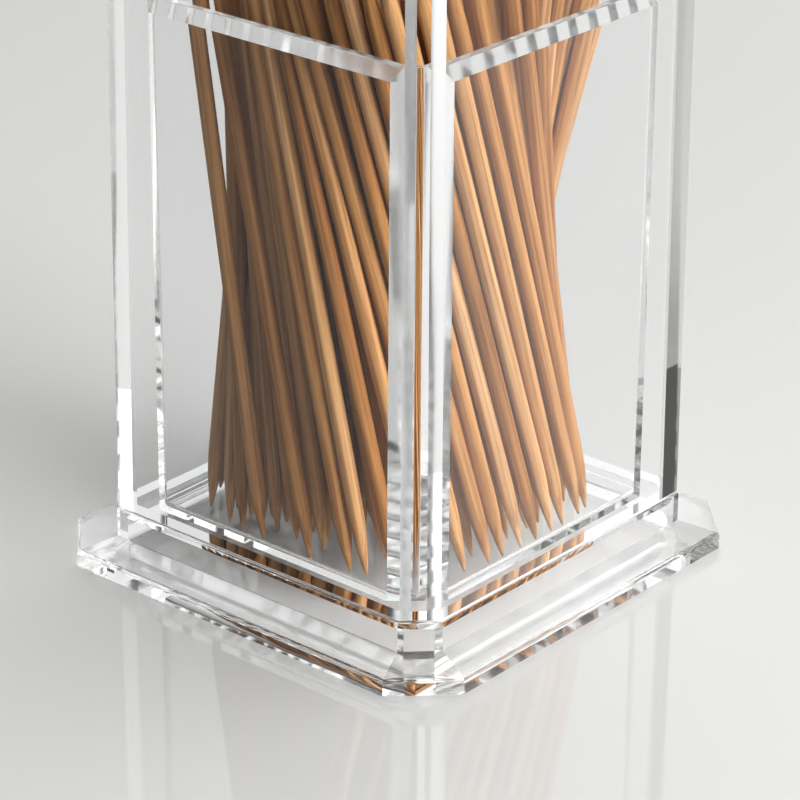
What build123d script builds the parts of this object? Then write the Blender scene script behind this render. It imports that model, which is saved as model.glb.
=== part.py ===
"""Clear square toothpick box: a stepped base, an inner cup full of picks and a lift-off dust cover.

Millimetres, +Z up, origin at the middle of the underside. The faces look along X and Y.
"""
import math
import os
import random

from build123d import *

# Inner cup, rising from the plinth in the same moulding, with a rim that slopes outward
cup_width = 35.8
cup_corner = 2.7
cup_wall = 2.2
cup_floor = 1.0
cup_depth = 54.1
cup_flare = 0.2
rim_bevel = 0.65
rim_slope = 0.88
rim_round = 0.2
rim_corner = 0.9
floor_drop = 0.35
floor_cove = 1.0
cove_overlap = 0.01
cavity_round = 0.5

# Base: a chamfered square foot with a thin lip, a sloping apron and a plinth for the cover
foot_corner = 5.5
lip_height = 1.7
lip_round = 0.5
apron_width = 4.15
apron_rise = 0.8
plinth_height = 3.2
plinth_round = 0.25
base_wall = 1.6

# Dust cover, standing on the plinth round the cup
cover_gap = 0.8
cover_wall = 2.9
cover_setback = 0.25
cover_corner = 2.8
cover_draft = 0.33
cover_headroom = 6.0
cover_ceiling = 3.0
cover_bevel = 3.0
cover_round = 0.3
seat_clearance = 0.05

# Knob, bonded into the roof of the cover
knob_ball = 14.0
knob_neck = 6.5
knob_neck_height = 2.5
knob_collar = 12.0
knob_collar_height = 1.5
knob_spigot = 5.0
knob_spigot_depth = 2.0

# Toothpicks, standing on their points in a twisted bundle
pick_diameter = 1.6
pick_length = 65.0
pick_taper = 6.5
pick_point = 0.5
pick_gap = 0.06
pick_gap_spread = 0.25
ring_gap = 0.4
wall_gap = 0.15
twist_low = 23.0
twist_high = 32.0
twist_swing = 0.22
twist_most_at = 50.0
twist_spread = 0.1
spread_share = 0.83
bundle_squareness = 4.0
bundle_seed = 5
stray_foot = 2.9
stray_slope = 0.157

# Smallest chamfer left on an inner outline, how level an edge has to be, step round a ring in degrees
smallest_corner = 0.1
level_slack = 0.001
search_step = 0.25

# Heights and widths worked out from the sizes above
apron_top = lip_height + apron_rise
plinth_top = apron_top + plinth_height
floor_top = plinth_top - floor_drop
hollow_top = floor_top - cup_floor
rim_top = floor_top + cup_depth
cover_bottom = plinth_top + seat_clearance
ceiling_height = floor_top + pick_length + cover_headroom
roof_height = ceiling_height + cover_ceiling
shoulder_height = roof_height - cover_bevel
cup_inside = cup_width - 2 * cup_wall
cover_width = cup_width + 2 * (cover_gap + cover_wall)
plinth_width = cover_width + 2 * cover_setback
foot_width = plinth_width + 2 * apron_width
bevel_width = rim_bevel * (cup_wall - cup_flare)
bevel_bottom = rim_top - rim_slope * bevel_width
spread_height = max(cup_depth, spread_share * pick_length)
bundle_reach = cup_inside / 2 - wall_gap - pick_diameter / 2 / math.cos(math.radians(twist_low))
pick_rings = math.floor(bundle_reach / (pick_diameter + ring_gap))


def inner_corner(corner, offset):
    """Chamfer leg of a cut-corner square after its outline moves inward by offset."""
    return max(corner - (2 - math.sqrt(2)) * offset, smallest_corner)


def octagon(width, corner, height):
    """Square outline with cut corners, flat at the given height."""
    return Pos(0, 0, height) * chamfer(Rectangle(width, width).vertices(), corner)


def tower(bottom, top, width, corner, top_width=None, top_corner=None):
    """Upright block with cut corners, straight or drawn in to another outline at the top."""
    if top_width is None:
        return extrude(octagon(width, corner, bottom), amount=top - bottom)
    if top_corner is None:
        top_corner = inner_corner(corner, (width - top_width) / 2)
    return loft([octagon(width, corner, bottom), octagon(top_width, top_corner, top)], ruled=True)


def edges_at(part, height):
    """Edges that lie flat at the given height."""
    return part.edges().filter_by_position(Axis.Z, height - level_slack, height + level_slack)


def make_cavity():
    """Room inside the cup, with upright corners nearly sharp and a hollow curve round the floor."""
    outlines = []
    for height, width in ((floor_top, cup_inside), (rim_top, cup_inside + 2 * cup_flare)):
        outlines.append(Pos(0, 0, height) * RectangleRounded(width, width, cavity_round))
    cavity = loft(outlines, ruled=True)
    # The curve runs on a hair into the wall and the floor, so that it meets them in clean lines
    curve_in = floor_cove - cove_overlap
    block = Pos(0, -cup_inside / 2, floor_top) * Box(cup_width, 2 * curve_in, 2 * curve_in)
    curve = Rot(0, 90, 0) * Cylinder(floor_cove, cup_width)
    cove = block - Pos(0, curve_in - cup_inside / 2, floor_top + curve_in) * curve
    for side in range(4):
        cavity -= Rot(0, 0, 90 * side) * cove
    return cavity


def make_base():
    """Foot, apron, plinth and cup in one moulding, hollow below the cup's floor."""
    foot = tower(0, lip_height, foot_width, foot_corner)
    apron = tower(lip_height, apron_top, foot_width, foot_corner, plinth_width)
    plinth_corner = inner_corner(foot_corner, apron_width)
    plinth = tower(lip_height, plinth_top, plinth_width, plinth_corner)
    base = foot + apron + plinth
    base = fillet(edges_at(base, plinth_top), plinth_round)
    base = fillet(edges_at(base, lip_height), lip_round)
    base += tower(apron_top, bevel_bottom, cup_width, cup_corner)
    base += tower(bevel_bottom, rim_top, cup_width, cup_corner, cup_width - 2 * bevel_width, rim_corner)
    base = fillet(edges_at(base, rim_top), rim_round)
    base -= make_cavity()
    hollow_corner = inner_corner(plinth_corner, base_wall)
    return base - tower(0, hollow_top, plinth_width - 2 * base_wall, hollow_corner)


def narrower(height):
    """How much narrower the cover is at a height than at its foot."""
    return 2 * (height - cover_bottom) * math.tan(math.radians(cover_draft))


def make_cover():
    """Four-sided dust cover with a bevelled roof and a socket for the knob."""
    shoulder_width = cover_width - narrower(shoulder_height)
    shoulder_corner = inner_corner(cover_corner, narrower(shoulder_height) / 2)
    shell = tower(cover_bottom, shoulder_height, cover_width, cover_corner, shoulder_width)
    roof_width = shoulder_width - 2 * cover_bevel
    shell += tower(shoulder_height, roof_height, shoulder_width, shoulder_corner, roof_width)
    shell = fillet(edges_at(shell, shoulder_height) + edges_at(shell, roof_height), cover_round)
    inside_width = cover_width - 2 * cover_wall
    inside_corner = inner_corner(cover_corner, cover_wall)
    ceiling_width = inside_width - narrower(ceiling_height)
    shell -= tower(cover_bottom, ceiling_height, inside_width, inside_corner, ceiling_width)
    spigot_hole = Cylinder(knob_spigot / 2 + seat_clearance, knob_spigot_depth)
    return shell - Pos(0, 0, roof_height - knob_spigot_depth / 2) * spigot_hole


def make_knob():
    """Turned ball knob with a neck, a collar and the spigot that is bonded into the cover."""
    collar_bottom = roof_height + seat_clearance
    collar_top = collar_bottom + knob_collar_height
    ball_drop = math.sqrt(knob_ball**2 - knob_neck**2) / 2
    ball_centre = collar_top + knob_neck_height + ball_drop
    spigot_bottom = collar_bottom - knob_spigot_depth
    turned = [
        (knob_spigot, spigot_bottom, collar_bottom),
        (knob_collar, collar_bottom, collar_top),
        (knob_neck, collar_top, ball_centre),
    ]
    knob = Pos(0, 0, ball_centre) * Sphere(knob_ball / 2)
    for diameter, low, high in turned:
        knob += Pos(0, 0, (low + high) / 2) * Cylinder(diameter / 2, high - low)
    return knob


def make_pick():
    """One pick along +Z from its lower point at the origin, pointed at both ends."""
    shaft = pick_diameter / 2
    tip = pick_point / 2
    profile = Polyline(
        (0, 0, 0),
        (tip, 0, 0),
        (shaft, 0, pick_taper),
        (shaft, 0, pick_length - pick_taper),
        (tip, 0, pick_length),
        (0, 0, pick_length),
        close=True,
    )
    return revolve(make_face(profile), Axis.Z)


def bundle_point(ring, angle):
    """Place of a ring's pick in plan, on a square with well rounded corners."""
    power = bundle_squareness
    squareness = (abs(math.cos(angle)) ** power + abs(math.sin(angle)) ** power) ** (-1 / power)
    radius = bundle_reach * ring / pick_rings * squareness
    return radius * math.cos(angle), radius * math.sin(angle)


def pick_line(ring, angle, lean):
    """Foot and slope in plan of a pick that leans round the bundle from its foot to the rim."""
    foot_x, foot_y = bundle_point(ring, angle + math.radians(twist_low) * lean)
    head_x, head_y = bundle_point(ring, angle - math.radians(twist_high) * lean)
    return foot_x, foot_y, (head_x - foot_x) / spread_height, (head_y - foot_y) / spread_height


def plan_gap(one, other):
    """Least distance in plan between two picks' centre lines, from the floor to their heads."""
    x, y, slope_x, slope_y = (b - a for a, b in zip(one, other))
    closing = slope_x**2 + slope_y**2
    nearest = -(x * slope_x + y * slope_y) / closing if closing else 0
    height = min(max(nearest, 0), pick_length)
    return math.hypot(x + slope_x * height, y + slope_y * height)


def lean_at(angle, chance):
    """Share of the usual twist that a pick has: it swings round the bundle and varies a little."""
    swing = twist_swing * math.cos(angle - math.radians(twist_most_at))
    return 1 + swing + chance.uniform(-twist_spread, twist_spread)


def ring_lines(ring, inner_lines, first_lines, chance):
    """Picks of one ring, set one after another wherever the next one clears its neighbours."""
    angle = chance.uniform(0, 2 * math.pi)
    last_angle = angle + 2 * math.pi
    lean = lean_at(angle, chance)
    lines = list(first_lines)
    while angle < last_angle:
        line = pick_line(ring, angle, lean)
        apart = (pick_diameter + pick_gap) * math.hypot(1, *line[2:])
        if all(plan_gap(line, other) >= apart for other in inner_lines + lines):
            lines.append(line)
            angle += chance.random() ** 2 * pick_gap_spread / (ring * pick_diameter)
            lean = lean_at(angle, chance)
        angle += math.radians(search_step)
    return lines


def stand_pick(pick, line):
    """A copy of the pick, stood on the cup's floor along its line."""
    x, y, slope_x, slope_y = line
    foot = Vector(x, y, floor_top + seat_clearance + pick_point / 2)
    return Location(Plane(origin=foot, z_dir=Vector(slope_x, slope_y, 1))) * pick


os.makedirs("parts", exist_ok=True)
export_step(make_base(), "parts/base_cup.step")
export_step(make_cover(), "parts/dust_cover.step")
export_step(make_knob(), "parts/cover_knob.step")

# The outer ring starts with a stray pick that leans along the front wall, clear of the twist
pick = make_pick()
stray = (-stray_foot, -bundle_reach, -stray_slope, 0)
chance = random.Random(bundle_seed)
lines = [(0, 0, 0, 0)]
for ring in range(pick_rings + 1):
    if ring > 0:
        lines = ring_lines(ring, lines, [stray] if ring == pick_rings else [], chance)
    picks = [stand_pick(pick, line) for line in lines]
    print("ring", ring, "holds", len(picks), "picks")
    if ring == pick_rings:
        for number, solid in enumerate(picks, start=1):
            export_step(solid, f"parts/outer_pick_{number:02d}.step")
    else:
        export_step(Compound(children=picks), f"parts/picks_ring_{ring}.step")
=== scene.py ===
"""Looks of a clear toothpick box: polished acrylic, bamboo picks, a glossy pale table and soft light."""
import math
import random

import bpy
import numpy as np
from mathutils import Matrix, Vector


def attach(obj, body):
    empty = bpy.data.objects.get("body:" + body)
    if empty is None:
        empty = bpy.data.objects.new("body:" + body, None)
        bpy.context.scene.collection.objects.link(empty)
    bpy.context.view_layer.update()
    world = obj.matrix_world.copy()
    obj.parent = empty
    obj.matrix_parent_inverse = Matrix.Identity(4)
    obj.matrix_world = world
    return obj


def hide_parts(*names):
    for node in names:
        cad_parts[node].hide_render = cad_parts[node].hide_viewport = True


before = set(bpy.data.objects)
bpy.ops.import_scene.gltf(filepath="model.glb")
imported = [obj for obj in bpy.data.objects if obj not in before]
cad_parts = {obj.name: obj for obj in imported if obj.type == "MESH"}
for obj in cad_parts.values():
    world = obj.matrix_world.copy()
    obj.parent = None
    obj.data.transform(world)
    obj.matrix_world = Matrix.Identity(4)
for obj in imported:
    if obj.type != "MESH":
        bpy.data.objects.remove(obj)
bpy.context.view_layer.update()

# Camera: focal length in pixels of the 800 pixel picture, viewing angles in degrees, place in metres
PICTURE_PIXELS = 800
FOCAL_PIXELS = 3480.5
SENSOR_WIDTH = 36.0
CAMERA_AZIMUTH = 40.525
CAMERA_ELEVATION = 24.355
CAMERA_ROLL = 0.413
CAMERA_PLACE = (0.20904, -0.244293, 0.1614)
CAMERA_NEAR = 0.01

# Picks: the mesh of one pick and how its shape strays from a plain round stick
PICK_SIDES = 18
PICK_STATIONS = 40
PICK_TAPER = 0.0062
PICK_TAPER_SPREAD = (0.9, 1.25)
PICK_POINT_REACH = 1.3 * PICK_TAPER
PICK_POINT_CURVE = 0.9
PICK_TIP = 0.14
PICK_SLIMMEST = 0.96
PICK_OVALNESS = 0.07
PICK_SEED = 11

# Digits of a metre to which vertices count as being at one place
PLACE_DIGITS = 7

# Acrylic: noise scales are per metre, along X, Y and Z
ACRYLIC_IOR = 1.49
ACRYLIC_TINT = (0.995, 0.998, 1.0, 1.0)
ACRYLIC_SPECULAR = 0.05
ACRYLIC_ROUGHNESS = (0.012, 0.035)
HAZE_SCALE = (260.0, 260.0, 120.0)
WAVE_SCALE = (90.0, 90.0, 25.0)
WAVE_DEPTH = 0.00003

# Bamboo: its tones, each pick's place between them and how far bands shift it, the length of grain in
# metres that the picks are cut from, and the fibres' tint, roughness and depth
BAMBOO_TONES = [
    (0.0, (0.34, 0.14, 0.04)),
    (0.35, (0.56, 0.27, 0.09)),
    (0.7, (0.72, 0.40, 0.17)),
    (1.0, (0.82, 0.52, 0.30)),
]
PICK_TONES = (0.15, 0.9)
GRAIN_LENGTH = 40.0
BAND_SCALE = (900.0, 900.0, 22.0)
BAND_SHIFT = 0.2
FIBRE_SCALE = (2600.0, 2600.0, 45.0)
FIBRE_TINTS = [(0.34, (0.56, 0.46, 0.38)), (0.6, (1.0, 1.0, 1.0))]
FIBRE_ROUGHNESS = (0.72, 0.5)
FIBRE_STRENGTH = 0.35
FIBRE_DEPTH = 0.00006
BAMBOO_SPECULAR = 0.08

# Table top: half its width, how far it lies below the foot, and its glaze
TABLE_HALF = 3.0
TABLE_DROP = 0.00005
TABLE_TINTS = [(0.3, (0.72, 0.72, 0.71)), (0.7, (0.76, 0.76, 0.75))]
TINT_SCALE = (6.0, 6.0, 6.0)
TABLE_ROUGHNESS = (0.02, 0.05)
SMEAR_SCALE = (25.0, 25.0, 25.0)
TABLE_IOR = 1.6

# Surroundings: their brightest and darkest level, the direction of the brightest, and where the dark begins
WORLD_BRIGHTEST = 1.7
WORLD_DARKEST = 0.06
WORLD_TINT = (0.985, 0.99, 0.98, 1.0)
WINDOW_SIDE = (0.35, 0.85, 0.4)
DARK_FROM = 0.0

# Lamps: place and size in metres, power in watts, and the point they are aimed at
KEY = {"place": (0.45, 0.02, 0.30), "size": 0.3, "power": 1.95}
FILL = {"place": (-0.45, -0.55, 0.6), "size": 0.6, "power": 0.15}
LAMP_AIM = (0.0, 0.0, 0.04)

# Light bounces, enough for a ray to run the whole way round inside a wall
MOST_BOUNCES = 64


class Shader:
    """A node material with short ways to add and link its nodes."""

    def __init__(self, name):
        self.material = bpy.data.materials.new(name)
        self.material.use_nodes = True
        self.tree = self.material.node_tree
        self.surface = self.tree.nodes["Principled BSDF"]

    def node(self, kind, **values):
        made = self.tree.nodes.new("ShaderNode" + kind)
        for key, value in values.items():
            setattr(made, key, value)
        return made

    def link(self, source, target):
        self.tree.links.new(source, target)

    def set(self, **values):
        for key, value in values.items():
            self.surface.inputs[key.replace("_", " ")].default_value = value

    def noise(self, vector, scale, detail=2.0, roughness=0.5):
        """Noise over the given coordinates, stretched by a scale for each axis."""
        mapping = self.node("Mapping")
        mapping.inputs["Scale"].default_value = scale
        self.link(vector, mapping.inputs["Vector"])
        texture = self.node("TexNoise")
        texture.inputs["Scale"].default_value = 1.0
        texture.inputs["Detail"].default_value = detail
        texture.inputs["Roughness"].default_value = roughness
        self.link(mapping.outputs["Vector"], texture.inputs["Vector"])
        return texture.outputs["Fac"]

    def ramp(self, value, stops):
        """Colours along a value, given as (place, colour) pairs."""
        made = self.node("ValToRGB")
        elements = made.color_ramp.elements
        while len(elements) < len(stops):
            elements.new(1.0)
        for element, (place, colour) in zip(elements, stops):
            element.position = place
            element.color = (*colour, 1.0)
        self.link(value, made.inputs["Fac"])
        return made.outputs["Color"]

    def spread(self, value, low, high):
        """A noise value, mostly between 0.3 and 0.7, spread over another range."""
        made = self.node("MapRange")
        made.inputs["From Min"].default_value = 0.3
        made.inputs["From Max"].default_value = 0.7
        made.inputs["To Min"].default_value = low
        made.inputs["To Max"].default_value = high
        self.link(value, made.inputs["Value"])
        return made.outputs["Result"]

    def multiply(self, first, second):
        made = self.node("Mix", data_type="RGBA", blend_type="MULTIPLY")
        made.inputs["Factor"].default_value = 1.0
        self.link(first, made.inputs["A"])
        self.link(second, made.inputs["B"])
        return made.outputs["Result"]

    def add(self, first, second):
        made = self.node("Math", operation="ADD")
        self.link(first, made.inputs[0])
        self.link(second, made.inputs[1])
        return made.outputs["Value"]

    def bump(self, height, strength, distance):
        made = self.node("Bump")
        made.inputs["Strength"].default_value = strength
        made.inputs["Distance"].default_value = distance
        self.link(height, made.inputs["Height"])
        self.link(made.outputs["Normal"], self.surface.inputs["Normal"])


def acrylic_material():
    """Clear polished acrylic, with the faint waviness of a moulded face."""
    shader = Shader("clear_acrylic")
    shader.set(
        Transmission_Weight=1.0,
        IOR=ACRYLIC_IOR,
        Base_Color=ACRYLIC_TINT,
        Specular_Tint=(ACRYLIC_SPECULAR, ACRYLIC_SPECULAR, ACRYLIC_SPECULAR, 1.0),
    )
    place = shader.node("TexCoord").outputs["Object"]
    haze = shader.noise(place, HAZE_SCALE, detail=3.0)
    shader.link(shader.spread(haze, *ACRYLIC_ROUGHNESS), shader.surface.inputs["Roughness"])
    waves = shader.noise(place, WAVE_SCALE, detail=1.0)
    shader.bump(waves, 1.0, WAVE_DEPTH)
    return shader.material


def bamboo_material():
    """Raw bamboo: fine fibres and broader bands along each pick, and a tone of its own for each pick."""
    shader = Shader("raw_bamboo")
    grain = shader.node("Attribute", attribute_name="grain").outputs["Vector"]
    tone = shader.node("Attribute", attribute_name="tone").outputs["Fac"]
    fibres = shader.noise(grain, FIBRE_SCALE, detail=4.0, roughness=0.6)
    bands = shader.noise(grain, BAND_SCALE, detail=2.0)
    shade = shader.add(tone, shader.spread(bands, -BAND_SHIFT, BAND_SHIFT))
    colour = shader.multiply(shader.ramp(shade, BAMBOO_TONES), shader.ramp(fibres, FIBRE_TINTS))
    shader.link(colour, shader.surface.inputs["Base Color"])
    shader.link(shader.spread(fibres, *FIBRE_ROUGHNESS), shader.surface.inputs["Roughness"])
    shader.set(Specular_IOR_Level=BAMBOO_SPECULAR)
    shader.bump(fibres, FIBRE_STRENGTH, FIBRE_DEPTH)
    return shader.material


def loose_parts(mesh):
    """Vertex places of each separate solid in a mesh."""
    count = len(mesh.vertices)
    places = np.zeros(count * 3)
    mesh.vertices.foreach_get("co", places)
    places = places.reshape(-1, 3)
    ends = np.zeros(len(mesh.edges) * 2, dtype=np.int64)
    mesh.edges.foreach_get("vertices", ends)
    # Vertices at one place belong together, although the faces round them are split
    _, label = np.unique(np.round(places, PLACE_DIGITS), axis=0, return_inverse=True)
    label = label.reshape(-1)
    ends = label[ends].reshape(-1, 2)
    group = np.arange(label.max() + 1)
    while True:
        lowest = np.minimum(group[ends[:, 0]], group[ends[:, 1]])
        new = group.copy()
        np.minimum.at(new, ends[:, 0], lowest)
        np.minimum.at(new, ends[:, 1], lowest)
        new = new[new]
        if np.array_equal(new, group):
            break
        group = new
    part = group[label]
    return [places[part == name] for name in np.unique(part)]


def pick_axis(places):
    """Lower end, upper end and radius of a straight round pick, from its vertices."""
    centre = places.mean(axis=0)
    direction = np.linalg.svd(places - centre, full_matrices=False)[2][0]
    if direction[2] < 0:
        direction = -direction
    along = (places - centre) @ direction
    across = places - centre - np.outer(along, direction)
    radius = np.linalg.norm(across, axis=1).max()
    return Vector(centre + direction * along.min()), Vector(centre + direction * along.max()), radius


def pick_mesh(axes, name, chance):
    """Mesh of the picks on the given axes, with the grain's coordinates and each pick's tone."""
    vertices, faces, grains, tones = [], [], [], []
    for foot, head, radius in axes:
        first = len(vertices)
        length = (head - foot).length
        turn = (head - foot).to_track_quat("Z", "Y").to_matrix()
        tone = chance.uniform(*PICK_TONES)
        offset = chance.uniform(0.0, GRAIN_LENGTH)
        thickness = chance.uniform(PICK_SLIMMEST, 1.0)
        oval = chance.uniform(0.0, PICK_OVALNESS)
        oval_turn = chance.uniform(0.0, math.pi)
        taper_low = PICK_TAPER * chance.uniform(*PICK_TAPER_SPREAD)
        taper_high = PICK_TAPER * chance.uniform(*PICK_TAPER_SPREAD)
        for station in range(PICK_STATIONS + 1):
            along = station_height(station, length)
            low = min(along / taper_low, 1.0)
            high = min((length - along) / taper_high, 1.0)
            swell = math.sin(min(low, high) * math.pi / 2) ** PICK_POINT_CURVE
            girth = radius * thickness * (PICK_TIP + (1.0 - PICK_TIP) * swell)
            for side in range(PICK_SIDES):
                angle = 2 * math.pi * side / PICK_SIDES
                reach = girth * (1.0 - oval * math.sin(angle - oval_turn) ** 2)
                flat = Vector((reach * math.cos(angle), reach * math.sin(angle), along))
                vertices.append(foot + turn @ flat)
                grains.append((flat.x, flat.y, along + offset))
                tones.append(tone)
        for station in range(PICK_STATIONS):
            ring = first + station * PICK_SIDES
            for side in range(PICK_SIDES):
                beside = (side + 1) % PICK_SIDES
                faces.append(
                    (ring + side, ring + beside, ring + PICK_SIDES + beside, ring + PICK_SIDES + side)
                )
        last = first + PICK_STATIONS * PICK_SIDES
        faces.append(tuple(first + side for side in reversed(range(PICK_SIDES))))
        faces.append(tuple(last + side for side in range(PICK_SIDES)))
    mesh = bpy.data.meshes.new(name)
    mesh.from_pydata(vertices, [], faces)
    mesh.shade_smooth()
    grain = mesh.attributes.new("grain", "FLOAT_VECTOR", "POINT")
    grain.data.foreach_set("vector", np.array(grains).ravel())
    mesh.attributes.new("tone", "FLOAT", "POINT").data.foreach_set("value", tones)
    return mesh


def station_height(station, length):
    """Heights along a pick, close together over the points and wide apart on the shaft."""
    at_ends = PICK_STATIONS // 4
    if station <= at_ends:
        return PICK_POINT_REACH * station / at_ends
    if station >= PICK_STATIONS - at_ends:
        return length - PICK_POINT_REACH * (PICK_STATIONS - station) / at_ends
    share = (station - at_ends) / (PICK_STATIONS - 2 * at_ends)
    return PICK_POINT_REACH + share * (length - 2 * PICK_POINT_REACH)


def dress_picks(material):
    """Replaces each pick node by picks with rounded points, uneven girth and grain."""
    chance = random.Random(PICK_SEED)
    pieces = []
    for node in sorted(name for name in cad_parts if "pick" in name):
        axes = [pick_axis(places) for places in loose_parts(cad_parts[node].data)]
        name = node + "_bamboo"
        piece = bpy.data.objects.new(name, pick_mesh(axes, name, chance))
        piece.data.materials.append(material)
        bpy.context.scene.collection.objects.link(piece)
        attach(piece, "base")
        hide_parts(node)
        pieces.append(piece)
    return pieces


def dress_acrylic(material):
    """Gives the clear nodes their material."""
    for node in ("base_cup", "dust_cover", "cover_knob"):
        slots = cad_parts[node].data.materials
        slots.clear()
        slots.append(material)


def make_floor():
    """Glossy pale table top."""
    shader = Shader("pale_table")
    place = shader.node("TexCoord").outputs["Object"]
    tint = shader.ramp(shader.noise(place, TINT_SCALE, detail=1.0), TABLE_TINTS)
    shader.link(tint, shader.surface.inputs["Base Color"])
    smear = shader.noise(place, SMEAR_SCALE, detail=2.0)
    shader.link(shader.spread(smear, *TABLE_ROUGHNESS), shader.surface.inputs["Roughness"])
    shader.set(IOR=TABLE_IOR)
    mesh = bpy.data.meshes.new("table_top")
    signs = [(-1, -1), (1, -1), (1, 1), (-1, 1)]
    corners = [(x * TABLE_HALF, y * TABLE_HALF, 0.0) for x, y in signs]
    mesh.from_pydata(corners, [], [(0, 1, 2, 3)])
    floor = bpy.data.objects.new("table_top", mesh)
    floor.location.z = -TABLE_DROP
    mesh.materials.append(shader.material)
    bpy.context.scene.collection.objects.link(floor)


def make_world():
    """Pale surroundings, brightest towards the window side."""
    world = bpy.data.worlds.new("studio")
    world.use_nodes = True
    tree = world.node_tree
    direction = tree.nodes.new("ShaderNodeTexCoord").outputs["Generated"]
    towards = tree.nodes.new("ShaderNodeVectorMath")
    towards.operation = "DOT_PRODUCT"
    towards.inputs[1].default_value = Vector(WINDOW_SIDE).normalized()
    tree.links.new(direction, towards.inputs[0])
    ramp = tree.nodes.new("ShaderNodeMapRange")
    ramp.inputs["From Min"].default_value = DARK_FROM
    ramp.inputs["To Min"].default_value = WORLD_DARKEST
    ramp.inputs["To Max"].default_value = WORLD_BRIGHTEST
    tree.links.new(towards.outputs["Value"], ramp.inputs["Value"])
    background = tree.nodes["Background"]
    background.inputs["Color"].default_value = WORLD_TINT
    tree.links.new(ramp.outputs["Result"], background.inputs["Strength"])
    bpy.context.scene.world = world


def make_lamp(name, blockers, place, size, power):
    """Square soft light aimed at the box; the clear walls let it through to the picks and the table."""
    lamp = bpy.data.lights.new(name, "AREA")
    lamp.size = size
    lamp.energy = power
    holder = bpy.data.objects.new(name, lamp)
    holder.location = place
    holder.rotation_euler = (Vector(LAMP_AIM) - Vector(place)).to_track_quat("-Z", "Y").to_euler()
    holder.light_linking.blocker_collection = blockers
    holder.visible_transmission = False
    bpy.context.scene.collection.objects.link(holder)


def make_camera():
    """Camera at the photograph's place, angle and focal length."""
    azimuth, elevation, roll = map(math.radians, (CAMERA_AZIMUTH, CAMERA_ELEVATION, CAMERA_ROLL))
    back = Vector(
        (
            math.sin(azimuth) * math.cos(elevation),
            -math.cos(azimuth) * math.cos(elevation),
            math.sin(elevation),
        )
    )
    level = Vector((math.cos(azimuth), math.sin(azimuth), 0.0))
    upright = back.cross(level)
    right = level * math.cos(roll) + upright * math.sin(roll)
    up = back.cross(right)
    camera = bpy.data.objects.new("camera", bpy.data.cameras.new("camera"))
    camera.matrix_world = Matrix.Translation(CAMERA_PLACE) @ Matrix((right, up, back)).transposed().to_4x4()
    camera.data.sensor_width = SENSOR_WIDTH
    camera.data.lens = FOCAL_PIXELS / PICTURE_PIXELS * SENSOR_WIDTH
    camera.data.clip_start = CAMERA_NEAR
    bpy.context.scene.collection.objects.link(camera)
    bpy.context.scene.camera = camera


blockers = bpy.data.collections.new("opaque_pieces")
for piece in dress_picks(bamboo_material()):
    blockers.objects.link(piece)
dress_acrylic(acrylic_material())
make_floor()
make_world()
make_lamp("key", blockers, **KEY)
make_lamp("fill", blockers, **FILL)
make_camera()

cycles = bpy.context.scene.cycles
cycles.max_bounces = MOST_BOUNCES
cycles.glossy_bounces = MOST_BOUNCES
cycles.transmission_bounces = MOST_BOUNCES
bpy.context.scene.view_settings.view_transform = "Standard"
